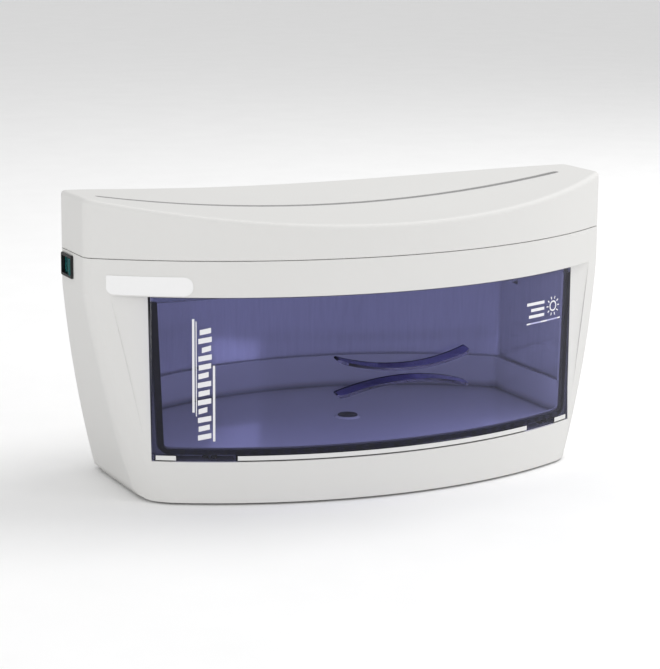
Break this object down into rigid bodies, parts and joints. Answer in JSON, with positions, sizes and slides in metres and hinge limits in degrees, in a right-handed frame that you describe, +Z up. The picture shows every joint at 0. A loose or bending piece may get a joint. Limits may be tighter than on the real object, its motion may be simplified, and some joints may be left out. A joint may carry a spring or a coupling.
{
  "type": "uv sterilizer cabinet",
  "caption": "Table-top ultraviolet chamber for salon tools, lens-shaped in plan, with a dished top and a pull-out drawer behind a curved tinted front.",
  "frame": {"origin": "middle of the footprint, on the surface the rubber feet stand on", "axes": "+Z up, the curved tinted front faces -Y, +X runs along the width"},
  "size_m": [0.3721, 0.2096, 0.1927],
  "materials": {
    "casing_plastic": "semi-gloss moulded ABS, warm white",
    "base_plastic": "fine textured moulding",
    "screw_steel": "zinc plated, cross recess",
    "foot_rubber": "matt",
    "liner_metal": "bright rolled sheet",
    "rail_nylon": "natural nylon",
    "ceiling_steel": "zinc coated sheet",
    "reflector_metal": "bright anodised sheet",
    "lamp_glass": "clear quartz glass",
    "cap_metal": "satin",
    "holder_plastic": "white moulding",
    "ballast_paint": "varnished laminations",
    "starter_plastic": "smooth can",
    "terminal_plastic": "cream moulding",
    "lead_brown": "PVC insulation",
    "lead_blue": "PVC insulation",
    "switch_black": "smooth black moulding",
    "rocker_green": "translucent green-blue moulding",
    "bush_rubber": "matt",
    "plunger_red": "moulded",
    "panel_violet": "transparent violet-blue moulding",
    "seal_rubber": "soft strip",
    "tray_plastic": "white moulding",
    "badge_plastic": "plain white film"
  },
  "bodies": {
    "cabinet": {"top_cover": "casing_plastic", "main_housing": "casing_plastic", "base_plate": "base_plastic", "cover_screws": "screw_steel", "base_screws": "screw_steel", "rail_screws": "screw_steel", "ceiling_screws": "screw_steel", "ballast_screws": "screw_steel", "interlock_screws": "screw_steel", "rubber_feet": "foot_rubber", "chamber_liner": "liner_metal", "drawer_rails": "rail_nylon", "ceiling_panel": "ceiling_steel", "reflector": "reflector_metal", "uv_lamp_tube": "lamp_glass", "lamp_cap_left": "cap_metal", "lamp_cap_right": "cap_metal", "lamp_holder_left": "holder_plastic", "lamp_holder_right": "holder_plastic", "ballast": "ballast_paint", "starter": "starter_plastic", "starter_holder": "holder_plastic", "terminal_block": "terminal_plastic", "switch_leads": "lead_brown", "ballast_leads": "lead_blue", "starter_lead": "lead_brown", "power_switch": "switch_black", "inlet_bush": "bush_rubber", "interlock_switch": "switch_black", "blank_badge": "badge_plastic"},
    "drawer": {"drawer_front": "panel_violet", "drawer_seal": "seal_rubber", "drawer_tray": "tray_plastic", "panel_clips": "switch_black"},
    "rocker": {"switch_rocker": "rocker_green"},
    "plunger": {"interlock_plunger": "plunger_red"}
  },
  "joints": [
    {"name": "drawer_slide", "type": "slide", "parent": "cabinet", "child": "drawer", "axis": [0, -1, 0], "range_m": [0, 0.11]},
    {"name": "rocker_tilt", "type": "hinge", "parent": "cabinet", "child": "rocker", "pos_m": [-0.184, 0.0023, 0.1465], "axis": [0, 0, 1], "range_deg": [0, 20]},
    {"name": "plunger_slide", "type": "slide", "parent": "cabinet", "child": "plunger", "axis": [0, -1, 0], "range_m": [0, 0.0009]}
  ],
  "couplings": [
    {"joint": "plunger_slide", "follows": "drawer_slide", "ratio": 0.00727}
  ]
}
